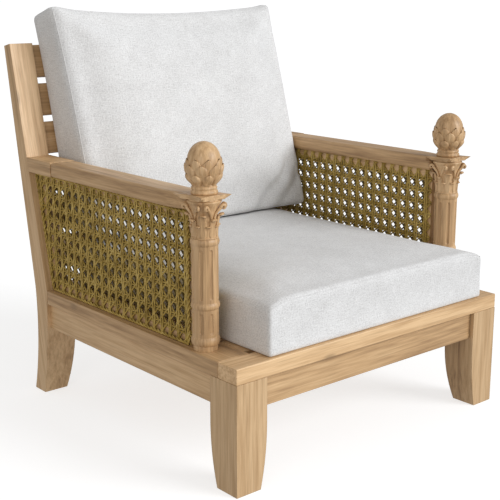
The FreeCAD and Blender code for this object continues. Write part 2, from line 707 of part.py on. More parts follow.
both(carved("capital_left", capital, (column_x, column_y, deck_top + S.shaft_height)), "capital_left")

# Finials: rings, neck and a bud in three rows of leaves
neck = S.finial_neck_height.value
ring_r, neck_r, bud_r = S.finial_foot_radius.value, S.finial_neck_radius.value, S.bud_radius.value
crest = S.finial_height.value
middle = crest - bud_r
spread = S.leaf_spread.value
step = neck / 3
pin_r, pin_low = S.pin_radius.value, -S.pin_length.value
bud_low = (0.5 * (neck_r + bud_r) + 2.5, 0.5 * (neck + middle))
bud_high = (bud_r * math.sqrt(0.5), middle + bud_r * math.sqrt(0.5))
bud = lathe([(0, pin_low), (pin_r, pin_low), (pin_r, 0), (ring_r - 1.5, 0), (ring_r - 1.5, step), (ring_r - 3, 1.6 * step),
             (ring_r - 3, 2.7 * step), (neck_r, neck), (bud_r, middle), (0, crest)],
            {4: (ring_r - 3, 1.2 * step), 3: (ring_r, 0.5 * step), 5: (ring_r - 1.4, 2.2 * step), 8: bud_high, 7: bud_low})
rise = middle - neck
bud_leaves = leaf_row(0, neck, neck + 0.36 * rise, neck_r + 1.0, neck_r + 6.5, spread - 4.5, 0.86 * neck_r)
bud_leaves += leaf_row(HALF_STEP, neck, neck + 0.68 * rise, neck_r, spread - 2.0, spread, 0.92 * neck_r)
bud_leaves += leaf_row(0, neck, neck + 0.92 * rise, neck_r - 1, spread - 3.0, spread - 2.5, 0.92 * neck_r)
finial_base = (column_x, column_y, abacus_low + S.abacus_height)
both(carved("finial_left", bud.fuse(bud_leaves), finial_base), "finial_left")

# Arm panels: a wood frame with cane on both faces
panel_outer = outer_x + S.panel_inset
panel_front = column_y + S.capital_lip_radius + clear
rail = S.panel_rail
raked_rail = rail / cosine


def panel_rear(height):
    """Y of the panel's rear edge at a height above the deck, just before the post."""
    return post_face(height) - clear


def panel_piece(label, points):
    points = [(y, deck_top + z) for y, z in points]
    both(side_piece(label.replace("_left", "_blank"), points, panel_outer, S.panel_thick), label)


rail_top = S.arm_rise - rail
panel_piece("panel_bottom_rail_left", [(panel_front, 0), (panel_rear(0), 0), (panel_rear(rail), rail), (panel_front, rail)])
panel_piece("panel_top_rail_left", [(panel_front, rail_top), (panel_rear(rail_top), rail_top),
                                    (panel_rear(S.arm_rise), S.arm_rise), (panel_front, S.arm_rise)])
panel_piece("panel_front_stile_left", [(panel_front, rail), (panel_front + rail, rail),
                                       (panel_front + rail, rail_top), (panel_front, rail_top)])
panel_piece("panel_rear_stile_left", [(panel_rear(rail) - raked_rail, rail), (panel_rear(rail), rail),
                                      (panel_rear(rail_top), rail_top), (panel_rear(rail_top) - raked_rail, rail_top)])


def cane_holes():
    """Rows of eight-sided holes, each row stopping short of the raked edge."""
    pitch_y, pitch_z = S.cane_pitch_y.value, S.cane_pitch_z.value
    half_y, half_z = S.cane_hole_y.value / 2, S.cane_hole_z.value / 2
    margin = S.cane_margin.value
    high = S.arm_rise.value
    rows = int((high - 2 * margin - 2 * half_z) / pitch_z) + 1
    first_z = (high - (rows - 1) * pitch_z) / 2
    first_y = panel_front.value + margin + half_y
    holes = []
    for i in range(rows):
        z = first_z + i * pitch_z
        last_y = panel_rear(dim(z - half_z)).value - margin - half_y
        for j in range(int((last_y - first_y) / pitch_y) + 1):
            y = first_y + j * pitch_y
            corners = []
            for k in range(8):
                angle = math.radians(22.5 - 45 * k)
                reach = 1 / math.cos(math.radians(22.5))
                corners.append(Vector(0, y + half_y * reach * math.cos(angle),
                                      deck_top.value + z + half_z * reach * math.sin(angle)))
            holes.append(Part.makePolygon(corners + corners[:1]))
    return holes


def cane_sheet(label, x):
    """One holed sheet that fills the panel's outline."""
    low, high = deck_top.value, arm_low.value
    start, rear_low, rear_high = panel_front.value, panel_rear(dim(0)).value, panel_rear(S.arm_rise).value
    corners = [Vector(0, start, low), Vector(0, rear_low, low), Vector(0, rear_high, high), Vector(0, start, high)]
    outline = Part.makePolygon(corners + corners[:1])
    net = Part.Face([outline] + cane_holes())
    obj = doc.addObject("Part::Feature", label)
    obj.Shape = net.extrude(Vector(S.cane_thick.value, 0, 0))
    place(obj, (x, 0, 0))
    both(obj, label)


cane_sheet("cane_outer_left", panel_outer - S.cane_thick)
cane_sheet("cane_inner_left", panel_outer + S.panel_thick)

# Cane border round the outer sheet
border = S.border_width
raked_border = border / cosine
border_high = S.arm_rise - border
border_body = new_body("cane_border_blank", (panel_outer - S.cane_thick - S.border_thick, 0, 0))
border_plan = new_sketch(border_body, "cane_border_plan", "YZ_Plane")
border_outer = [(panel_front, 0), (panel_rear(0), 0), (panel_rear(S.arm_rise), S.arm_rise), (panel_front, S.arm_rise)]
border_inner = [(panel_front + border, border), (panel_rear(border) - raked_border, border),
                (panel_rear(border_high) - raked_border, border_high), (panel_front + border, border_high)]
for loop in (border_outer, border_inner):
    add_loop(border_plan, [(y, deck_top + z) for y, z in loop])
pad(border_body, border_plan, S.border_thick)
both(border_body, "cane_border_left")

# Cushions: lofts with a crown, flat where they rest, sides drawn in between the corners
ROUND_ANGLES = (0.0, 22.5, 45.0, 67.5, 90.0)
EDGE_CROWN = 0.8
NEAR_STEPS = (1.7, 3.0)
MIDDLE_SHARES = (0.25, 0.375, 0.5, 0.625, 0.75)


def end_round(distance, radius):
    """Inset of a quarter-round edge at a distance from the end."""
    if distance >= radius:
        return 0.0
    return radius - math.sqrt(radius ** 2 - (radius - distance) ** 2)


def stations(length, near, far):
    """Places along a cushion, close together where its two ends round off."""
    marks = [near * (1 - math.cos(math.radians(a))) for a in ROUND_ANGLES] + [near * step for step in NEAR_STEPS]
    marks += [share * length for share in MIDDLE_SHARES]
    ends = [far * (1 - math.cos(math.radians(a))) for a in ROUND_ANGLES] + [1.7 * far, 2.6 * far]
    return marks + [length - d for d in reversed(ends)]


def cushion_section(half, low, high, crown, corner, foot, out):
    """Rounded box section: flat at low, bowed at high, measured from foot along out."""
    bend = min(corner, 0.45 * (high - low))
    nook = bend * (1 - math.sqrt(0.5))
    path = [[(-half + bend, low), (half - bend, low)],
            [(half - bend, low), (half - nook, low + nook), (half, low + bend)],
            [(half, low + bend), (half, high - bend)],
            [(half, high - bend), (half - nook, high - nook), (half - bend, high)],
            [(half - bend, high), (0, high + crown), (-half + bend, high)],
            [(-half + bend, high), (-half + nook, high - nook), (-half, high - bend)],
            [(-half, high - bend), (-half, low + bend)],
            [(-half, low + bend), (-half + nook, low + nook), (-half + bend, low)]]
    edges = []
    for spots in path:
        points = [foot + Vector(x, 0, 0) + out * t for x, t in spots]
        edge = Part.LineSegment(*points) if len(points) == 2 else Part.Arc(*points)
        edges.append(edge.toShape())
    return Part.Wire(edges)


def cushion_solid(sizes, along, tilt_deg):
    """Loft along a direction; its sections tilt from level by up to tilt_deg over the length."""
    width, length, thick, crown, corner, draw, near, far, taper = (size.value for size in sizes)
    seam = thick - crown
    wires = []
    for place_along in stations(length, near, far):
        share = place_along / length
        spread = abs(2 * share - 1)
        foot_inset = end_round(place_along, near)
        head_inset = end_round(length - place_along, far)
        inset = foot_inset + head_inset
        lift = head_inset if tilt_deg else 0.0
        half = width / 2 - inset - draw * (1 - spread ** 2)
        deep = seam + taper * (0.5 - share) - inset
        swell = crown * (1 - EDGE_CROWN * spread ** 3)
        tilt = math.radians(tilt_deg * share)
        out = Vector(0, -math.cos(tilt), math.sin(tilt)) if tilt_deg else UP
        wires.append(cushion_section(half, lift, deep, swell, corner, along * place_along, out))
    return Part.makeLoft(wires, True, False)


def loose(label, shape, base):
    obj = doc.addObject("Part::Feature", label)
    obj.Shape = shape
    place(obj, base)
    keep(obj, label)


seat_rest = deck_top + S.rest_gap
seat_front = along_back(dim(0), S.slat_recess)[0] - S.seat_back_gap - S.seat_length
seat_sizes = (S.seat_width, S.seat_length, S.seat_height, S.seat_crown, S.seat_corner, S.cushion_draw,
              S.seat_round, S.seat_round, dim(0))
seat = cushion_solid(seat_sizes, Vector(0, 1, 0), 0)
loose("seat_cushion", seat, (S.seat_shift, seat_front, seat_rest))
seat_crest = seat_rest + S.seat_height
back_foot = seat_crest + S.rest_gap
back_base = post_face(back_foot - deck_top) + (S.slat_recess - S.rest_gap) / cosine
back_sizes = (S.back_width, S.back_height, S.back_thick, S.back_crown, S.back_corner, S.cushion_draw,
              S.back_foot_round, S.back_head_round, S.back_taper)
up_back = Vector(0, sine.value, cosine.value)
back = cushion_solid(back_sizes, up_back, UPRIGHT.value)
loose("back_cushion", back, (S.back_shift, back_base, back_foot))

doc.recompute()

for obj in doc.Objects:
    if "Invalid" in obj.State or "Error" in obj.State:
        raise RuntimeError(f"{obj.Label} failed to build: {obj.State}")
os.makedirs("parts", exist_ok=True)
for label, obj in nodes.items():
    if obj.Shape.isNull() or not obj.Shape.isValid():
        raise RuntimeError(f"{label} has no valid shape")
for label, obj in nodes.items():
    solids = obj.Shape.Solids
    shape = solids[0] if len(solids) == 1 else Part.makeCompound(solids)
    shape.exportStep(f"parts/{label}.step")
print(len(nodes), "pieces")
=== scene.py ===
import math

import bpy
import numpy as np
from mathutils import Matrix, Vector


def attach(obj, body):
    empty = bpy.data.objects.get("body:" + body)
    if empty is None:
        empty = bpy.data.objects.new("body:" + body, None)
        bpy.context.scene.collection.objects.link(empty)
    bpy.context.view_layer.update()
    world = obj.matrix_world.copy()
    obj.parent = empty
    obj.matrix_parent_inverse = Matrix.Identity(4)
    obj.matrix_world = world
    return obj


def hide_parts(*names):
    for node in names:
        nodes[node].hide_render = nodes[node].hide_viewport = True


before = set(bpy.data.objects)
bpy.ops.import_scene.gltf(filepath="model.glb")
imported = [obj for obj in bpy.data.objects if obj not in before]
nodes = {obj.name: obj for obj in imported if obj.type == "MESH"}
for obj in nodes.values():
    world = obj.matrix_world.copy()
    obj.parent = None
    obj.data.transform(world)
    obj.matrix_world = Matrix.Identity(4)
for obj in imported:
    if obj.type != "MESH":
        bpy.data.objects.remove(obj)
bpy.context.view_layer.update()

MM = 0.001
RAKE = math.radians(11.9)
SIDES = (("left", -1), ("right", 1))

# The middle of an arm panel's thickness
PANEL_X = 360 * MM

# The photograph's viewpoint, where the camera stands
EYE = np.array((-1.5813, -1.8549, 0.9539))


# Materials

class Shader:
    """A procedural material, with short calls that add and join its nodes."""

    def __init__(self, name):
        self.material = bpy.data.materials.new(name)
        self.material.use_nodes = True
        self.tree = self.material.node_tree
        self.surface = self.tree.nodes["Principled BSDF"]

    def join(self, node, key, value):
        socket = node.inputs[int(key[1:])] if key[0] == "_" else node.inputs[key.replace("_", " ")]
        if isinstance(value, bpy.types.NodeSocket):
            self.tree.links.new(value, socket)
        else:
            socket.default_value = value

    def add(self, kind, out=0, props=None, **inputs):
        node = self.tree.nodes.new("ShaderNode" + kind)
        for key, value in (props or {}).items():
            setattr(node, key, value)
        for key, value in inputs.items():
            self.join(node, key, value)
        return node.outputs[out]

    def math(self, operation, a, b=0.0):
        return self.add("Math", props={"operation": operation}, _0=a, _1=b)

    def total(self, *parts):
        """Values added up, each times its weight."""
        whole, *others = [self.math("MULTIPLY", value, weight) for value, weight in parts]
        for other in others:
            whole = self.math("ADD", whole, other)
        return whole

    def noise(self, vector, scale, detail=2.0, rough=0.5, bend=0.0):
        return self.add("TexNoise", out="Fac", Vector=vector, Scale=scale, Detail=detail,
                        Roughness=rough, Distortion=bend)

    def stretch(self, vector, scale):
        return self.add("Mapping", Vector=vector, Scale=scale)

    def ramp(self, value, stops):
        node = self.tree.nodes.new("ShaderNodeValToRGB")
        marks = node.color_ramp.elements
        while len(marks) < len(stops):
            marks.new(0.5)
        for mark, (place, colour) in zip(marks, stops):
            mark.position = place
            mark.color = (*colour, 1.0)
        self.tree.links.new(value, node.inputs[0])
        return node.outputs[0]

    def grey(self, value, low, high, dark=0.0, light=1.0):
        return self.add("MapRange", Value=value, From_Min=low, From_Max=high, To_Min=dark, To_Max=light)

    def blend(self, kind, share, first, second):
        return self.add("MixRGB", props={"blend_type": kind}, Fac=share, Color1=first, Color2=second)

    def bump(self, height, strength, distance, normal=None):
        inputs = {"Height": height, "Strength": strength, "Distance": distance}
        if normal is not None:
            inputs["Normal"] = normal
        return self.add("Bump", **inputs)

    def finish(self, colour, roughness, normal, **others):
        inputs = {"Base_Color": colour, "Roughness": roughness, "Normal": normal, **others}
        for key, value in inputs.items():
            self.join(self.surface, key, value)
        return self.material


TEAK_TONES = (
    (0.28, (0.35, 0.203, 0.092)),
    (0.47, (0.55, 0.345, 0.168)),
    (0.66, (0.72, 0.485, 0.262)),
)
LINEN_TONES = (
    (0.38, (0.52, 0.51, 0.5)),
    (0.51, (0.7, 0.695, 0.685)),
    (0.63, (0.84, 0.837, 0.83)),
)
CANE_TONES = (
    (0.32, (0.21, 0.126, 0.014)),
    (0.5, (0.44, 0.297, 0.06)),
    (0.66, (0.65, 0.475, 0.145)),
)


def along_grain(grain, share):
    """Scales that draw a pattern out along one axis."""
    return [share if axis == grain else 1.0 for axis in range(3)]


def teak(name, grain, lean=0.0, shade=1.0):
    """Light oiled teak with its grain along one axis, 0 to 2 for X to Z, and leaning back if asked."""
    wood = Shader(name)
    chance = wood.add("ObjectInfo", out="Random")
    shift = wood.add("CombineXYZ", X=wood.math("MULTIPLY", chance, 7.3),
                     Y=wood.math("MULTIPLY", chance, 13.7), Z=wood.math("MULTIPLY", chance, 3.1))
    spot = wood.add("Mapping", Vector=wood.add("TexCoord", out="Object"), Rotation=(lean, 0.0, 0.0))
    place = wood.add("VectorMath", props={"operation": "ADD"}, _0=spot, _1=shift)
    board = wood.stretch(place, along_grain(grain, 0.045))
    thread = wood.stretch(place, along_grain(grain, 0.025))
    plank = wood.stretch(place, along_grain(grain, 0.45))
    rings = wood.math("MULTIPLY", wood.noise(board, scale=7.0, bend=0.4), 7.0)
    rings = wood.math("PINGPONG", rings, 1.0)
    streak = wood.noise(board, scale=150.0, detail=4.0, rough=0.62, bend=0.15)
    fibre = wood.noise(thread, scale=420.0, detail=3.0, rough=0.6)
    colour = wood.ramp(wood.total((rings, 0.25), (streak, 0.75)), TEAK_TONES)
    pores = wood.grey(fibre, 0.3, 0.5, 0.78, 1.0)
    colour = wood.blend("MULTIPLY", 0.75, colour, pores)
    spots = wood.add("TexVoronoi", out="Distance", Vector=plank, Scale=7.0)
    knots = wood.grey(spots, 0.035, 0.09, 0.45, 1.0)
    colour = wood.blend("MULTIPLY", 1.0, colour, knots)
    light = wood.grey(chance, 0.0, 1.0, 0.97 * shade, 1.03 * shade)
    colour = wood.add("HueSaturation", Color=colour, Value=light)
    roughness = wood.grey(streak, 0.3, 0.7, 0.56, 0.42)
    eased = wood.add("Bevel", props={"samples": 4}, Radius=1.8 * MM)
    height = wood.total((fibre, 0.5), (streak, 0.5))
    grooves = wood.bump(height, strength=0.22, distance=1.2 * MM, normal=eased)
    return wood.finish(colour, roughness, grooves, Coat_Weight=0.15, Coat_Roughness=0.38)


def linen(name):
    """Pale slubbed linen, woven along the piece's own cloth map."""
    cloth = Shader(name)
    place = cloth.add("TexCoord", out="UV")

    def slubs(stretch, detail=3.0):
        return cloth.noise(cloth.stretch(place, stretch), scale=1.0, detail=detail, rough=0.6)

    across = slubs((45.0, 900.0, 1.0))
    along = slubs((900.0, 45.0, 1.0))
    cloud = slubs((14.0, 14.0, 14.0))
    pepper = slubs((330.0, 330.0, 1.0), detail=1.0)
    weave = cloth.total((across, 0.5), (along, 0.5))
    colour = cloth.ramp(cloth.total((weave, 0.55), (cloud, 0.12), (pepper, 0.33)), LINEN_TONES)
    roughness = cloth.grey(weave, 0.3, 0.7, 0.95, 0.85)
    warp, weft = (cloth.add("TexWave", out="Fac", props={"bands_direction": axis}, Vector=place,
                            Scale=190.0, Distortion=1.5) for axis in "XY")
    threads = cloth.math("MULTIPLY", cloth.math("ADD", warp, weft), 0.25)
    height = cloth.math("ADD", weave, threads)
    ridges = cloth.bump(height, strength=0.3, distance=1.2 * MM)
    return cloth.finish(colour, roughness, ridges, Specular_IOR_Level=0.2, Sheen_Weight=0.25)


def cane(name):
    """Gold and brown woven cane, with painted shade on the sides that face into a panel."""
    reed = Shader(name)
    place = reed.add("TexCoord", out="Object")
    patch = reed.noise(place, scale=38.0, detail=3.0, rough=0.6)
    streak = reed.noise(place, scale=520.0, detail=2.0, rough=0.6)
    colour = reed.ramp(reed.total((patch, 0.6), (streak, 0.4)), CANE_TONES)
    # Painted shade: strand sides that face into the hollow between a panel's two faces are darkened to
    # about a third of their colour, standing in for the shadow inside the panel
    across = reed.add("SeparateXYZ", out="X", Vector=reed.add("NewGeometry", out="Position"))
    outward = reed.add("SeparateXYZ", out="X", Vector=reed.add("NewGeometry", out="Normal"))
    depth = reed.math("SUBTRACT", reed.math("ABSOLUTE", across), PANEL_X)
    facing = reed.math("MULTIPLY", reed.math("SIGN", across), outward)
    shown = reed.math("MULTIPLY", reed.math("SIGN", depth), facing)
    colour = reed.blend("MULTIPLY", 1.0, colour, reed.grey(shown, -0.6, 0.1, 0.35, 1.0))
    roughness = reed.grey(streak, 0.3, 0.7, 0.55, 0.4)
    return reed.finish(colour, roughness, reed.bump(streak, strength=0.25, distance=0.6 * MM))


TEAK = {
    "across": teak("teak_across", 0),
    "along": teak("teak_along", 1),
    "upright": teak("teak_upright", 2),
    "raked": teak("teak_raked", 2, RAKE),
    "leg": teak("teak_leg", 2, shade=0.87),
    "turned": teak("teak_turned", 2, shade=1.03),
    "front": teak("teak_front", 0, shade=1.1),
}
LINEN = linen("linen")
CANE = cane("cane")
GRAIN = {
    "front": ("front_board",),
    "across": ("rear_board", "front_apron", "rear_apron", "back_slat", "seat_slat"),
    "along": ("side_board", "side_apron", "slat_bearer", "arm", "abacus", "panel_bottom_rail",
              "panel_top_rail", "cane"),
    "raked": ("back_post",),
    "leg": ("front_leg",),
    "turned": ("column",),
}


def dress(obj, material):
    """Give a piece one material."""
    obj.data.materials.clear()
    obj.data.materials.append(material)


for name, obj in nodes.items():
    grain = next((kind for kind, starts in GRAIN.items() if name.startswith(starts)), "upright")
    dress(obj, TEAK[grain])


# Mesh helpers

class Stock:
    """Vertices and faces of one piece, gathered from several forms."""

    def __init__(self):
        self.points = []
        self.faces = []
        self.count = 0

    def take(self, points, faces):
        self.points.append(np.asarray(points, float))
        self.faces.extend([tuple(i + self.count for i in face) for face in faces])
        self.count += len(points)

    def piece(self, name, body, material, slot, stands_for=(), smooth=True):
        mesh = bpy.data.meshes.new(name)
        mesh.from_pydata(np.concatenate(self.points).tolist(), [], self.faces)
        mesh.validate()
        mesh.polygons.foreach_set("use_smooth", [smooth] * len(mesh.polygons))
        obj = bpy.data.objects.new(name, mesh)
        bpy.context.scene.collection.objects.link(obj)
        mesh.materials.append(material)
        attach(obj, body)
        if stands_for:
            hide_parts(*stands_for)
        return obj


def unit(rows):
    """Each row brought to length one."""
    return rows / np.linalg.norm(rows, axis=-1, keepdims=True)


def end_caps(count, width):
    """Faces that close the first and the last of several rings of points."""
    last = (count - 1) * width
    return [tuple(range(width - 1, -1, -1)), tuple(last + k for k in range(width))]


def tube(path, radius, sides=6, closed=False, up=(1.0, 0.0, 0.0)):
    """A round strand along a path."""
    path = np.asarray(path, float)
    ahead = np.roll(path, -1, 0) - np.roll(path, 1, 0) if closed else np.gradient(path, axis=0)
    ahead = unit(ahead)
    side = unit(np.cross(ahead, np.asarray(up)))
    rise = np.cross(side, ahead)
    turn = np.arange(sides) * 2 * math.pi / sides
    rings = (path[:, None] + radius * (np.cos(turn)[None, :, None] * side[:, None]
                                       + np.sin(turn)[None, :, None] * rise[:, None]))
    count = len(path)
    faces = []
    for i in range(count if closed else count - 1):
        j = (i + 1) % count
        for k in range(sides):
            n = (k + 1) % sides
            faces.append((i * sides + k, i * sides + n, j * sides + n, j * sides + k))
    if not closed:
        faces += end_caps(count, sides)
    return rings.reshape(-1, 3), faces


# Woven cane panels

# Where the two faces of a panel lie, the spacing of their pairs of strands in Y and Z, the first crossing
# from the foot of the front edge, and how far the farther face is shifted
SHEET = {"outer": 374.6 * MM, "inner": 345.4 * MM}
PITCH = np.array((28.1, 28.85)) * MM
FIRST = np.array((13.45, 23.6)) * MM
FAR_SHIFT = {"left": np.array((5.5, 4)) * MM, "right": np.array((9, 4)) * MM}

# Half the spacing within a pair, a strand's radius and wave, and how far out each kind of strand lies
PAIR = 2.75 * MM
STRAND = 1.95 * MM
WAVE = 0.8 * MM
UPRIGHT, LEVEL, OVER, UNDER = 1.8 * MM, -1.0 * MM, 0.7 * MM, -2.4 * MM

# The shortest strand that is kept, and the points along a strand from one pair to the next
SHORTEST = 4 * MM
POINTS_PER_PITCH = 5

# The twisted cord round an outer face
CORD_X = 378.0 * MM
CORD_INSET = 4.5 * MM
CORD_STEP = 2.2 * MM
CORD_TURN = 26 * MM
CORD_OFFSET = 1.9 * MM
CORD_STRAND = 2.1 * MM


def outline_of(node):
    """Corners of a sheet in Y and Z, from the front foot round to the front top."""
    points = np.array([v.co for v in nodes[node].data.vertices])
    low, high = points.min(0), points.max(0)
    foot = points[points[:, 2] < low[2] + MM, 1].max()
    head = points[points[:, 2] > high[2] - MM, 1].max()
    return np.array([(low[1], low[2]), (foot, low[2]), (head, high[2]), (low[1], high[2])])


def clipped(start, ahead, corners):
    """The stretch of a line inside a convex outline, as two distances."""
    near, far = -1e9, 1e9
    for a, b in zip(corners, np.roll(corners, -1, 0)):
        inward = np.array((-(b - a)[1], (b - a)[0]))
        slope = inward @ ahead
        room = inward @ (a - start)
        if abs(slope) < 1e-12:
            if room > 0:
                return None
        elif slope > 0:
            near = max(near, room / slope)
        else:
            far = min(far, room / slope)
    return (near, far) if far - near > SHORTEST else None


def woven_sheet(name, node, mid, out, origin, pitch):
    """Pairs of upright and level strands, with single strands across them both ways."""
    corners = outline_of(node)
    low, high = corners.min(0), corners.max(0)
    stock = Stock()

    def strand(start, ahead, lift):
        ahead = unit(np.asarray(ahead, float))
        span = clipped(np.asarray(start, float), ahead, corners)
        if span is None:
            return
        count = max(3, int((span[1] - span[0]) / (pitch[0] / POINTS_PER_PITCH)))
        steps = np.linspace(*span, count)
        flat = np.asarray(start) + steps[:, None] * ahead
        path = np.column_stack((mid + out * lift(flat), flat))
        stock.take(*tube(path, STRAND, sides=6))

    def wave(flat, axis):
        return WAVE * np.sin(2 * math.pi * (flat[:, axis] - origin[axis]) / pitch[axis])

    first = np.floor((low - origin) / pitch).astype(int)
    last = np.ceil((high - origin) / pitch).astype(int) + 1
    rows = max(abs(first[1]), abs(last[1]))
    for i in range(first[0], last[0]):
        for side in (-1, 1):
            start = (origin[0] + i * pitch[0] + side * PAIR, origin[1])
            strand(start, (0, 1), lambda flat, hand=side: UPRIGHT + hand * wave(flat, 1))
    for j in range(first[1], last[1]):
        for side in (-1, 1):
            start = (origin[0], origin[1] + j * pitch[1] + side * PAIR)
            strand(start, (1, 0), lambda flat, hand=side: LEVEL - hand * wave(flat, 0))
    for i in range(first[0] - rows - 1, last[0] + rows + 1):
        start = (origin[0] + (i + 0.5) * pitch[0], origin[1])
        strand(start, (-pitch[0], pitch[1]), lambda flat: np.full(len(flat), OVER))
        strand(start, (pitch[0], pitch[1]), lambda flat: np.full(len(flat), UNDER))
    stock.piece(name, "frame", CANE, "cane", [node])


def twisted_cord(name, node, mid):
    """Two strands twisted together round the edge of a panel."""
    corners = outline_of(node)
    middle = corners.mean(0)
    size = corners.max(0) - corners.min(0)
    corners = middle + (corners - middle) * (1 - 2 * CORD_INSET / size)
    stock = Stock()
    length = 0.0
    for a, b in zip(corners, np.roll(corners, -1, 0)):
        reach = np.linalg.norm(b - a)
        ahead = (b - a) / reach
        across = np.array((-ahead[1], ahead[0]))
        steps = np.arange(0, reach, CORD_STEP)
        for phase in (0, math.pi):
            turn = 2 * math.pi * (steps + length) / CORD_TURN + phase
            flat = a + steps[:, None] * ahead + CORD_OFFSET * np.cos(turn)[:, None] * across
            path = np.column_stack((mid + CORD_OFFSET * np.sin(turn), flat))
            stock.take(*tube(path, CORD_STRAND, sides=7))
        length += reach
    stock.piece(name, "frame", CANE, "cane", [node])


# The farther face of each panel is laid out a little coarser and shifted, so that its openings show
# through the nearer face's openings from the photograph's viewpoint
for side, sign in SIDES:
    near, far = ("outer", "inner") if side == "left" else ("inner", "outer")
    near_x, far_x = sign * SHEET[near], sign * SHEET[far]
    coarser = (far_x - EYE[0]) / (near_x - EYE[0])
    origin = outline_of(f"cane_{near}_{side}").min(0) + FIRST
    behind = EYE[1:] + (origin - EYE[1:]) * coarser + FAR_SHIFT[side]
    sheets = ((near, near_x, origin, PITCH), (far, far_x, behind, PITCH * coarser))
    for sheet, mid, start, pitch in sheets:
        out = sign if sheet == "outer" else -sign
        woven_sheet(f"cane_weave_{sheet}_{side}", f"cane_{sheet}_{side}", mid, out, start, pitch)
    twisted_cord("cane_cord_" + side, "cane_border_" + side, sign * CORD_X)


# Carved capitals, abaci and finials

# The column's axis, the heights where its three carved pieces start, and the capital's height
COLUMN_X, COLUMN_Y = 363 * MM, -290.32 * MM
CAPITAL_FOOT, ABACUS_FOOT, FINIAL_FOOT = 491 * MM, 565 * MM, 577 * MM
CAPITAL = 74 * MM

# The radius that a turned form's flat foot and top close down to, in millimetres
CORE = 0.5

# The capital's bell in millimetres: the radius of its neck, and what its swell and its lip add at the top
BELL_NECK, BELL_SWELL, BELL_LIP = 22.6, 7.6, 5

# A leaf's middle rib and veins, its thickness at the tip and what the foot has beyond that, and how deep
# its back may lie in the form that carries it
RIB, VEIN = 0.7 * MM, 1.3 * MM
LEAF_TIP, LEAF_FOOT = 2.2 * MM, 3 * MM
LEAF_SUNK = 3 * MM

# Shares of a leaf's length: where it is widest, where its curl starts and how long the curl is, and how
# near a curled leaf comes to a point, with the angle of the curl
WIDEST = 0.4
CURL_FROM, CURL_SHARE = 0.78, 0.22
CURLED_REACH = 0.88
CURL_ANGLE = math.radians(150)

# The finial's bud in millimetres: heights of its foot, widest place and top, and radii of neck and body
BUD_FOOT, BUD_MIDDLE, BUD_TOP = 21, 60, 101
BUD_NECK, BUD_BODY = 21.5, 33


def shell(rows, closed_round=True):
    """Faces between rows of points that run round or across a form."""
    count, width = rows.shape[:2]
    faces = []
    for i in range(count - 1):
        for k in range(width if closed_round else width - 1):
            n = (k + 1) % width
            faces.append((i * width + k, i * width + n, (i + 1) * width + n, (i + 1) * width + k))
    return rows.reshape(-1, 3), faces


def turned(stock, centre, profile, sides=72):
    """A turned form from radii and heights, closed at its foot and top."""
    angle = np.arange(sides) * 2 * math.pi / sides
    rows = [[(r * math.cos(a), r * math.sin(a), z) for a in angle] for r, z in profile]
    points, faces = shell(np.array(rows) + centre)
    stock.take(points, faces + end_caps(len(profile), sides))


def leaf(stock, centre, radius_at, turn, foot, tip, half_turn, lift,
         curl=0.0, lobes=0, veins=0, steps=(25, 15)):
    """A carved leaf that lies on a turned form, lifts away from it and curls over at its tip."""
    along = np.linspace(0, 1, steps[0])[:, None]
    across = np.linspace(-1, 1, steps[1])[None, :]
    reach = CURLED_REACH * along if curl else along
    widening = 0.72 + 0.28 * np.sin(np.minimum(along / WIDEST, 1.0) * math.pi / 2)
    narrowing = np.maximum((reach - WIDEST) / (1 - WIDEST), 0) ** 2.2
    spread = np.where(along < WIDEST, widening, 1.0)
    spread = spread * np.sqrt(np.maximum(1 - narrowing, 0.0004))
    if lobes:
        spread = spread * (1 - 0.22 * np.cos(math.pi * lobes * along) ** 2 * (1 - along ** 4))
    bend = np.clip((along - CURL_FROM) / CURL_SHARE, 0, 1) * CURL_ANGLE if curl else 0 * along
    straight = np.minimum(along / CURL_FROM, 1.0) if curl else along
    droop = 0.06 * (tip - foot) * along * across ** 2
    height = foot + (tip - curl - foot) * straight + curl * np.sin(bend) - droop
    swell = straight ** 2.4 if curl else np.sin(math.pi * 0.8 * along)
    away = lift[0] + (lift[1] - lift[0]) * swell + curl * (1 - np.cos(bend))
    angle = turn + half_turn * spread * across
    rib = -RIB * np.exp(-(across / 0.1) ** 2)
    vein = 0 * across
    if veins:
        vein = -VEIN * np.abs(np.sin(math.pi * veins * across / 2)) ** 0.7 * (1 - across ** 4)
    arch = away * (1 - 0.45 * across ** 4) + rib + vein
    body = np.vectorize(radius_at)(height)
    thick = LEAF_TIP + LEAF_FOOT * (1 - straight)
    sheets = []
    for depth in (0.0, 1.0):
        radius = body + np.maximum(arch - depth * thick * np.cos(bend), -LEAF_SUNK)
        level = height + depth * thick * np.sin(bend)
        sheets.append(np.stack((radius * np.cos(angle), radius * np.sin(angle), level), axis=-1) + centre)
    points, faces = shell(sheets[0], closed_round=False)
    stock.take(points, faces)
    points, faces = shell(sheets[1], closed_round=False)
    stock.take(points, [face[::-1] for face in faces])
    rows, width = steps
    edge = [(0, k) for k in range(width)] + [(i, width - 1) for i in range(1, rows)]
    edge += [(rows - 1, k) for k in range(width - 2, -1, -1)] + [(i, 0) for i in range(rows - 2, 0, -1)]
    border = np.array([[sheets[n][i, k] for i, k in edge] for n in (1, 0)])
    stock.take(*shell(border))


def bell_radius(height):
    """The capital's bell, which flares towards its top."""
    share = np.clip(height / CAPITAL, 0, 1)
    return (BELL_NECK + BELL_SWELL * share ** 2 + BELL_LIP * share ** 7) * MM


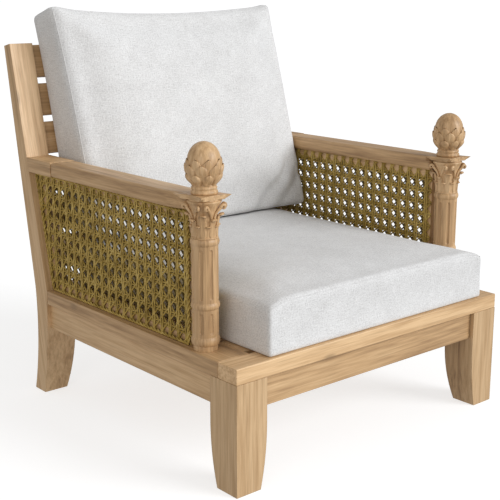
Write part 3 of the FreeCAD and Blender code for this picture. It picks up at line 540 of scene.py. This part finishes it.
def volute(stock, centre, corner, hand):
    """A stem that climbs from near the middle of a face to a corner and curls up under the abacus."""
    foot, rise = 38, 24.5
    from_corner, swing = 38, 22
    off_bell, throw = 1.4, 5.4
    size, least, turns = 5.4 * MM, 1.2 * MM, 0.8
    eye_lift = 0.8 * MM
    climb = np.linspace(0, 1, 18)[:-1]
    height = (foot + rise * climb) * MM
    turn = corner + hand * np.radians(from_corner - swing * climb ** 1.6)
    radius = bell_radius(height) + (off_bell + throw * climb ** 3) * MM
    stem = np.column_stack((radius * np.cos(turn), radius * np.sin(turn), height))
    outward = np.array((math.cos(corner), math.sin(corner), 0.0))
    inward = hand * np.array((math.sin(corner), -math.cos(corner), 0.0))
    ahead = unit(outward + 0.55 * inward)
    bend = np.linspace(0, 1, 46)
    curl = (size - least) * (1 - bend) ** 0.85 + least
    angle = 2 * math.pi * turns * bend
    eye = stem[-1] + (0, 0, eye_lift) + ahead * size
    spiral = eye + (-np.cos(angle) * curl)[:, None] * ahead
    spiral[:, 2] += np.sin(angle) * curl
    path = np.concatenate((stem, spiral))
    width = np.concatenate((2.0 + 1.5 * climb, 3.5 - 0.6 * bend)) * MM
    sides = 8
    points, _ = tube(path, 1.0, sides=sides, up=np.cross(ahead, (0, 0, 1.0)))
    rings = points.reshape(-1, sides, 3)
    rings = path[:, None] + (rings - path[:, None]) * width[:, None, None]
    points, faces = shell(rings + centre)
    stock.take(points, faces + end_caps(len(path), sides))


def carved_capital(side, centre):
    """A bell with eight low leaves, taller ones on faces and corners, and two volutes at each corner."""
    stock = Stock()
    rim, rim_foot, bell_top = 34 * MM, 71.5 * MM, 70
    profile = [(CORE * MM, 0.0)] + [(bell_radius(z * MM), z * MM) for z in np.linspace(0, bell_top, 15)]
    profile += [(rim, rim_foot), (rim, CAPITAL), (CORE * MM, CAPITAL)]
    turned(stock, centre, profile)
    rings = [(CORE, 0), (26.2, 0), (27.2, 1.2), (26.2, 2.4), (CORE, 2.4)]
    turned(stock, centre, [(r * MM, z * MM) for r, z in rings])
    for k in range(8):
        leaf(stock, centre, bell_radius, math.radians(22.5 + 45 * k), foot=2 * MM, tip=25 * MM,
             half_turn=math.radians(15), lift=(2.0 * MM, 4.0 * MM), curl=2.0 * MM, veins=3)
    for k in range(4):
        face, corner = math.radians(90 * k), math.radians(45 + 90 * k)
        leaf(stock, centre, bell_radius, face, foot=2 * MM, tip=39 * MM,
             half_turn=math.radians(18), lift=(3.6 * MM, 4.8 * MM), curl=3.6 * MM, lobes=3, veins=5)
        leaf(stock, centre, bell_radius, corner, foot=2 * MM, tip=48 * MM,
             half_turn=math.radians(19), lift=(4.2 * MM, 6.4 * MM), curl=3.2 * MM, lobes=3, veins=5)
        volute(stock, centre, corner, -1)
        volute(stock, centre, corner, 1)
    stock.piece("capital_carved_" + side, "frame", TEAK["turned"], "teak", ["capital_" + side])


def carved_abacus(side, centre):
    """A slab with hollow sides and pointed horns, cut away underneath, the rear outer horn the longest."""
    stock = Stock()
    tip, middle, plain_edge = 53 * MM, 30 * MM, 41 * MM
    outer_horn = math.radians(135 if side == "left" else 45)
    stretch, sharpness = 0.15, 30
    reach = tip * math.sqrt(0.5)
    far = (tip ** 2 - middle ** 2) / (2 * (reach - middle))
    rows = []
    layers = ((3, plain_edge - 1 * MM), (3.6, plain_edge), (10.4, tip - 1.5 * MM), (11.4, tip),
              (12, tip - 0.8 * MM))
    for height, trim in layers:
        row = []
        for k in range(4):
            for t in np.linspace(-math.pi / 4, math.pi / 4, 24, endpoint=False):
                root = (far * math.cos(t)) ** 2 - far ** 2 + (far - middle) ** 2
                radius = min(far * math.cos(t) - math.sqrt(max(root, 0.0)), trim)
                turn = t + k * math.pi / 2
                radius *= 1 + stretch * max(0.0, math.cos(turn - outer_horn)) ** sharpness
                row.append((radius * math.cos(turn), radius * math.sin(turn), height * MM))
        rows.append(row)
    points, faces = shell(np.array(rows) + centre)
    stock.take(points, faces + end_caps(len(rows), len(rows[0])))
    collar = [(CORE, 0), (31, 0), (32, 1.5), (31, 3), (CORE, 3)]
    turned(stock, centre, [(r * MM, z * MM) for r, z in collar])
    stock.piece("abacus_carved_" + side, "frame", TEAK["along"], "teak", ["abacus_" + side],
                smooth=False)


def bud_radius(height):
    """The finial's bud: a plain neck, a swelling body and a round crown."""
    z = height / MM
    if z < BUD_FOOT:
        return BUD_NECK * MM
    if z < BUD_MIDDLE:
        swell = math.sin(math.pi / 2 * (z - BUD_FOOT) / (BUD_MIDDLE - BUD_FOOT))
        return (BUD_NECK + (BUD_BODY - BUD_NECK) * swell) * MM
    crown = (z - BUD_MIDDLE) / (BUD_TOP - BUD_MIDDLE)
    return BUD_BODY * MM * math.sqrt(max(0.0, 1 - crown ** 2.15))


def carved_finial(side, centre):
    """A leaf bud on two turned rings, with three rows of eight leaves."""
    stock = Stock()
    rings = [(CORE, 0), (24.5, 0), (26.3, 1.6), (26.8, 4), (26.3, 6.4), (24.6, 8), (23.8, 9), (24.6, 10),
             (25.4, 12), (25.2, 14), (24.2, 15.6), (22.8, 16.6), (22.2, 18.5)]
    profile = [(r * MM, z * MM) for r, z in rings]
    profile += [(bud_radius(z * MM), z * MM) for z in np.linspace(BUD_FOOT, 96, 34)]
    profile += [(bud_radius(z * MM), z * MM) for z in (98, 99.5, 100.4, 100.9)]
    profile.append((0.4 * MM, BUD_TOP * MM))
    turned(stock, centre, profile)
    half = math.radians(22.5)
    for k in range(8):
        turn = math.radians(45 * k)
        leaf(stock, centre, bud_radius, turn + half, foot=30 * MM, tip=70 * MM,
             half_turn=half, lift=(1.6 * MM, 3.0 * MM))
        leaf(stock, centre, bud_radius, turn, foot=22 * MM, tip=59.5 * MM,
             half_turn=half, lift=(2.4 * MM, 6.4 * MM))
        leaf(stock, centre, bud_radius, turn + half, foot=17 * MM, tip=41 * MM,
             half_turn=half * 0.9, lift=(2.6 * MM, 9.4 * MM))
    stock.piece("finial_carved_" + side, "frame", TEAK["turned"], "teak", ["finial_" + side])


for side, sign in SIDES:
    axis = np.array((sign * COLUMN_X, COLUMN_Y, 0.0))
    carved_capital(side, axis + (0, 0, CAPITAL_FOOT))
    carved_abacus(side, axis + (0, 0, ABACUS_FOOT))
    carved_finial(side, axis + (0, 0, FINIAL_FOOT))


# Cushions

# The swelling: its air pressure, its frames, and how often its result is evened out
PRESSURE = 4.0
FRAMES = 20
SMOOTHINGS = 14

# How far in from a seam a panel and a side wall come to their full swell
PANEL_REACH, WALL_REACH = 170 * MM, 45 * MM

# The seam's radius, a direction that no seam runs along, and the cloth map's shift from face to face
SEAM = 0.8 * MM
SLANT = (0.31, 0.43, 0.85)
MAP_SHIFT = (0.37, 0.61)

# Sizes across, along and through, and the middle of the edge that each cushion is set out from
SEAT_SIZE = (636 * MM, 702 * MM, 113 * MM)
SEAT_PLACE = np.array((11, -419, 264.6)) * MM
BACK_SIZE = (644 * MM, 511 * MM, 124 * MM)
BACK_PLACE = np.array((3, 313.3, 392.5)) * MM


class Cushion:
    """A boxed cover on a grid: across, along and through, with the crown at the far end of through."""

    def __init__(self, size, cell=8 * MM):
        self.size = np.asarray(size, float)
        self.cells = [max(2, round(length / cell)) for length in size]
        self.keys = []
        self.number = {}
        nu, nv, nw = self.cells
        for i in range(nu + 1):
            for j in range(nv + 1):
                for k in range(nw + 1):
                    if i in (0, nu) or j in (0, nv) or k in (0, nw):
                        self.number[i, j, k] = len(self.keys)
                        self.keys.append((i, j, k))
        self.share = np.array(self.keys) / np.array(self.cells)
        self.faces = []
        for axis in range(3):
            a, b = [x for x in range(3) if x != axis]
            for end in (0, self.cells[axis]):
                for p in range(self.cells[a]):
                    for q in range(self.cells[b]):
                        corner = []
                        for da, db in ((0, 0), (1, 0), (1, 1), (0, 1)):
                            key = [0, 0, 0]
                            key[axis], key[a], key[b] = end, p + da, q + db
                            corner.append(self.number[tuple(key)])
                        flip = (end == 0) != (axis == 1)
                        self.faces.append(tuple(corner[::-1] if flip else corner))

    def round_edges(self, near, far):
        """Round the edges of the box: near and far hold the radii across, along and through."""
        middle = (self.share - 0.5) * 2
        reach = np.where(middle < 0, near, far) / (self.size / 2)
        core = np.clip(middle, -(1 - reach), 1 - reach)
        over = (middle - core) / reach
        length = np.maximum(np.linalg.norm(over, axis=1, keepdims=True), 1.0)
        self.share = (core + over / length * reach) / 2 + 0.5
        self.points = (self.share - (0.5, 0.0, 0.0)) * self.size

    def seam(self, whole):
        """Indices along the front seam, or all round the crown."""
        nu, nv, level = self.cells
        loop = [(i, 0) for i in range(nu + 1)]
        if whole:
            loop += [(nu, j) for j in range(1, nv)] + [(i, nv) for i in range(nu, 0, -1)]
            loop += [(0, j) for j in range(nv, 0, -1)]
        return [self.number[i, j, level] for i, j in loop]

    def room(self, edge, crown, side):
        """How far each point may move: little at the seams, most in the middle of a panel."""
        gap = np.minimum(self.share, 1 - self.share) * self.size
        panel = np.minimum(gap[:, 0], gap[:, 1])
        wall = np.minimum(gap[:, 2], np.maximum(gap[:, 0], gap[:, 1]))
        far = np.clip(panel / PANEL_REACH, 0, 1)
        cap = edge + (crown - edge) * np.sin(far * math.pi / 2)
        near = np.clip(wall / WALL_REACH, 0, 1)
        return np.where(panel > 0, cap, edge + (side - edge) * np.sin(near * math.pi / 2))

    def swell(self, cap, held):
        """Fill the cover with air, holding some points, and keep each point's move under its cap."""
        mesh = bpy.data.meshes.new("swelling")
        mesh.from_pydata(self.points.tolist(), [], self.faces)
        obj = bpy.data.objects.new("swelling", mesh)
        scene = bpy.context.scene
        scene.collection.objects.link(obj)
        obj.vertex_groups.new(name="held").add([int(i) for i in np.nonzero(held)[0]], 1.0, "REPLACE")
        cloth = obj.modifiers.new("cloth", "CLOTH")
        settings = cloth.settings
        settings.quality = 5
        settings.mass = 0.3
        settings.tension_stiffness = 12
        settings.compression_stiffness = 12
        settings.shear_stiffness = 5
        settings.bending_stiffness = 0.4
        settings.use_pressure = True
        settings.uniform_pressure_force = PRESSURE
        settings.effector_weights.gravity = 0
        settings.vertex_group_mass = "held"
        cloth.point_cache.frame_start = 1
        cloth.point_cache.frame_end = FRAMES
        for number in range(1, FRAMES + 1):
            scene.frame_set(number)
        shown = obj.evaluated_get(bpy.context.evaluated_depsgraph_get())
        swollen = np.array([v.co for v in shown.data.vertices])
        bpy.data.objects.remove(obj)
        bpy.data.meshes.remove(mesh)
        scene.frame_set(1)
        move = swollen - self.points
        length = np.linalg.norm(move, axis=1) + 1e-9
        move = move * (cap * np.tanh(length / cap) / length)[:, None]
        sides = np.array([(f[k], f[k - 1]) for f in self.faces for k in range(4)])
        count = np.bincount(sides[:, 0], minlength=len(move))[:, None]
        for _ in range(SMOOTHINGS):
            near = np.zeros_like(move)
            np.add.at(near, sides[:, 0], move[sides[:, 1]])
            move = np.where(held[:, None], move, 0.5 * move + 0.5 * near / count)
        self.points = self.points + move

    def piece(self, name, node, body, place, whole):
        """The finished cover in the room, with its seam and its cloth map."""
        stock = Stock()
        stock.take(place(self.points), self.faces)
        path = place(self.points[self.seam(whole)])
        stock.take(*tube(path, SEAM, sides=6, closed=whole, up=SLANT))
        obj = stock.piece(name, body, LINEN, "linen", [node])
        mesh = obj.data
        flat = mesh.uv_layers.new(name="cloth")
        for face in mesh.polygons:
            n = face.normal
            axis = max(range(3), key=lambda a: abs(n[a]))
            a, b = [x for x in range(3) if x != axis]
            for loop in face.loop_indices:
                co = mesh.vertices[mesh.loops[loop].vertex_index].co
                flat.data[loop].uv = (co[a] + MAP_SHIFT[0] * axis, co[b] + MAP_SHIFT[1] * axis)
        smooth = obj.modifiers.new("smooth", "SUBSURF")
        smooth.levels = 1
        smooth.render_levels = 1


def fade(distance, reach):
    """One where there is no distance, down to nothing at the reach."""
    return np.clip(1 - distance / reach, 0, 1)


def seat_place(points):
    """The seat cushion lies level on the slats."""
    return points + SEAT_PLACE


def back_place(points):
    """The rear face lies on the slats and the foot on the seat cushion."""
    across, up, deep = points.T
    x, y, z = BACK_PLACE
    y = y + up * math.sin(RAKE) - deep * math.cos(RAKE)
    z = z + up * math.cos(RAKE) + deep * math.sin(RAKE)
    return np.column_stack((across + x, y, z))


def seat_cushion():
    """A flat cushion that drops at its two side rims and spreads to the right at its front."""
    seat = Cushion(SEAT_SIZE)
    held = seat.share[:, 2] == 0
    room = seat.room(edge=2 * MM, crown=20 * MM, side=5 * MM)
    seat.round_edges(near=np.array((8, 8, 3)) * MM, far=np.array((8, 8, 20)) * MM)
    seat.swell(room, held)
    front = fade(seat.points[:, 1], 95 * MM)
    right = np.clip(seat.points[:, 0] / seat.size[0] + 0.5, 0, 1)
    rim = fade(np.minimum(right, 1 - right) * seat.size[0], 75 * MM) ** 2
    drop = 15 * MM * rim * seat.share[:, 2] ** 3
    spread = 21 * MM * right * (3 * front ** 2 - 2 * front ** 3)
    seat.points[:, 2] -= drop
    seat.points[:, 0] += spread
    seat.piece("seat_cushion_cover", "seat_cushion", "seat_cushion", seat_place, whole=False)


def back_cushion():
    """A plump cushion, thickest at its foot, with eared top corners and creases at its lower right."""
    back = Cushion(BACK_SIZE)
    held = back.share[:, 2] == 0
    room = back.room(edge=4 * MM, crown=44 * MM, side=9 * MM)
    back.round_edges(near=np.array((22, 14, 44)) * MM, far=np.array((8, 18, 38)) * MM)
    across, up, deep = back.share.T
    height, ear_rise = 509, 17
    foot_depth, taper = 143, 40
    ears = (2 * across - 1) ** 2
    depth = deep * (foot_depth - taper * up) * MM
    rise = up * (height + ear_rise * ears) * MM - (1 - up) * depth * math.tan(RAKE)
    back.points = np.column_stack(((across - 0.5) * back.size[0], rise, depth))
    back.swell(room, held)

    # Slanting creases across the front's lower right corner, which is also set back
    corner = ((1 - across) * back.size[0] + up * back.size[1]) / (155 * MM)
    low = np.clip(1.3 - up * back.size[1] / (120 * MM), 0, 1)
    crease = fade(np.abs(corner - 1), 0.2) ** 1.5 * low
    pleat = fade(np.abs(corner - 0.58), 0.22) ** 2
    back.points[:, 2] -= (17 * crease + 10 * pleat + 8 * fade(corner, 1.0)) * MM * deep

    # The right side is thicker and wider, and the front of the foot hangs
    right_depth = 24 * MM * across ** 4 * (1 - up ** 3) * deep
    right_reach = 10 * MM * across ** 6
    foot_hang = 7 * MM * deep ** 2 * (1 - up) ** 10
    back.points[:, 2] += right_depth
    back.points[:, 0] += right_reach
    back.points[:, 1] -= foot_hang

    # The left ear rises in front and drops at the rear, both ears spread, and the lower right side bulges
    left_ear = (5 - 14 * (1 - deep)) * MM * (1 - across) ** 8 * up ** 6
    ear_spread = 14 * MM * (2 * across - 1) ** 5 * up ** 3
    bulge = fade(1 - across, 0.12) * fade(np.abs(up - 0.14), 0.16)
    back.points[:, 1] += left_ear
    back.points[:, 0] += ear_spread
    back.points[:, 0] += 8 * MM * bulge
    back.piece("back_cushion_cover", "back_cushion", "back_cushion", back_place, whole=True)


seat_cushion()
back_cushion()


# Room, light and camera

FLOOR_REACH = 120.0
FLOOR_GREY = (0.5, 0.5, 0.5)
WHITE = (1.0, 1.0, 1.0, 1.0)

# The point that the lights are turned to
MIDDLE = (0.0, 0.0, 0.45)


def plain(name, colour):
    """A matt, faintly clouded ground that gives off some light of its own."""
    ground = Shader(name)
    mist = ground.noise(ground.add("TexCoord", out="Object"), scale=0.5)
    shade = ground.ramp(mist, [(0.3, tuple(c * 0.99 for c in colour)), (0.7, colour)])
    roughness = ground.grey(mist, 0.3, 0.7, 0.9, 0.95)
    ripple = ground.bump(mist, strength=0.01, distance=1 * MM)
    return ground.finish(shade, roughness, ripple, Emission_Color=WHITE, Emission_Strength=0.68,
                         Specular_IOR_Level=0.0)


floor_mesh = bpy.data.meshes.new("floor")
floor_corners = [(x * FLOOR_REACH, y * FLOOR_REACH, 0) for x, y in ((-1, -1), (1, -1), (1, 1), (-1, 1))]
floor_mesh.from_pydata(floor_corners, [], [(0, 1, 2, 3)])
floor = bpy.data.objects.new("floor", floor_mesh)
bpy.context.scene.collection.objects.link(floor)
dress(floor, plain("floor", FLOOR_GREY))
floor.visible_diffuse = False
floor.visible_glossy = False

world = bpy.data.worlds.new("studio")
bpy.context.scene.world = world
world.use_nodes = True
sky = world.node_tree.nodes["Background"]
sky.inputs["Color"].default_value = WHITE
sky.inputs["Strength"].default_value = 0.43


def lamp(name, kind, place, target, energy):
    """A light at one place that points at another."""
    data = bpy.data.lights.new(name, kind)
    data.energy = energy
    obj = bpy.data.objects.new(name, data)
    obj.location = place
    obj.rotation_euler = (Vector(target) - Vector(place)).to_track_quat("-Z", "Y").to_euler()
    bpy.context.scene.collection.objects.link(obj)
    return data


key = lamp("key", "SUN", (1.3, -2.35, 1.6), MIDDLE, 2.42)
key.angle = math.radians(35)
key.color = (0.98, 1.0, 1.03)
fill = lamp("fill", "AREA", (-3.6, -2.2, 1.4), MIDDLE, 30)
fill.shape = "DISK"
fill.size = 2.5
fill.color = (1.0, 0.96, 0.92)

camera_data = bpy.data.cameras.new("camera")
camera_data.lens = 75.7
camera_data.sensor_width = 36
camera_data.clip_end = 400
camera = bpy.data.objects.new("camera", camera_data)
camera.location = EYE
camera.rotation_euler = (math.radians(76.151), 0.0, math.radians(-40.443))
bpy.context.scene.collection.objects.link(camera)
bpy.context.scene.camera = camera
bpy.context.scene.view_settings.view_transform = "Standard"
bpy.context.scene.view_settings.look = "None"
